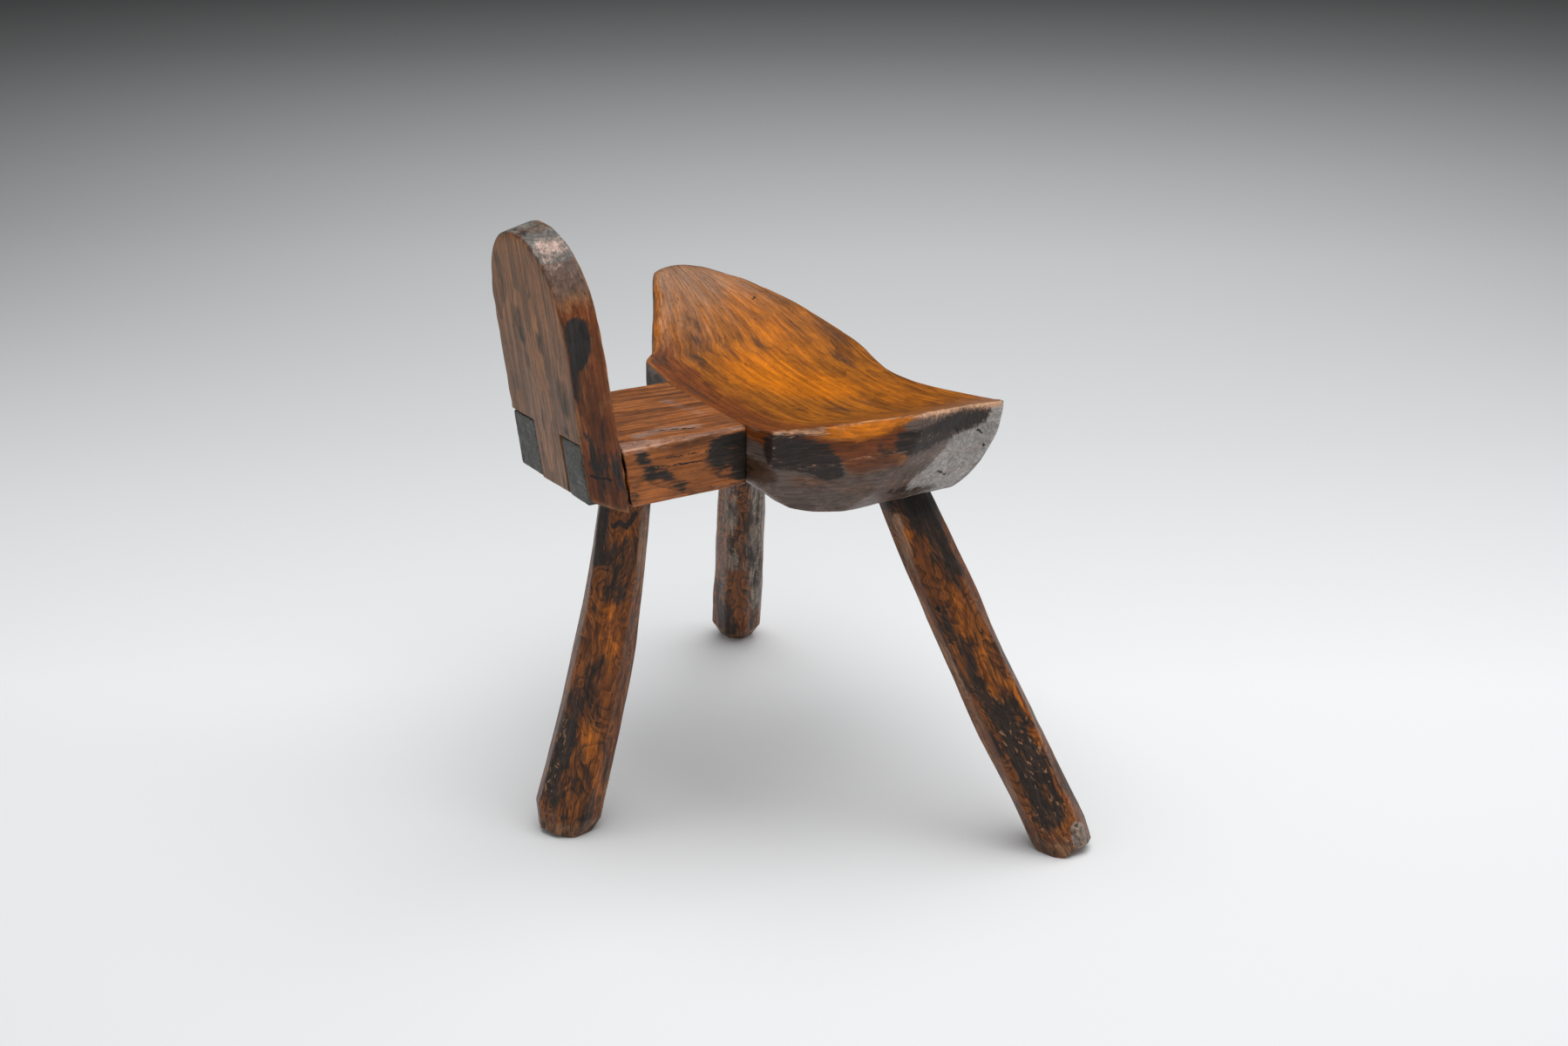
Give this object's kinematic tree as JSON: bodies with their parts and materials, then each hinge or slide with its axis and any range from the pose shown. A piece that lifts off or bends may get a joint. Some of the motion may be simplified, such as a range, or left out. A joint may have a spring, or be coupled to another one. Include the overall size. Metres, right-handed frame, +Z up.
{
  "type": "carved three-legged stool",
  "caption": "Low hewn hardwood stool with a dished, winged seat, a leaning arched back board on a thick tongue, and splayed faceted legs.",
  "frame": {"origin": "on the floor, under the middle of the stool's bounding box", "axes": "+X the way the sitter faces, +Y the sitter's left, +Z up"},
  "size_m": [0.4027, 0.5984, 0.5504],
  "materials": {
    "seat_wood": "hand-polished amber brown, worn at the edges",
    "tongue_wood": "waxed brown, dark stains",
    "board_wood": "waxed grey-brown, charred in places",
    "leg_wood": "waxed dark brown, hewn facets"
  },
  "bodies": {
    "root": {"seat": "seat_wood", "tongue": "tongue_wood", "back_board": "board_wood", "back_leg": "leg_wood", "front_left_leg": "leg_wood", "front_right_leg": "leg_wood"}
  },
  "joints": []
}
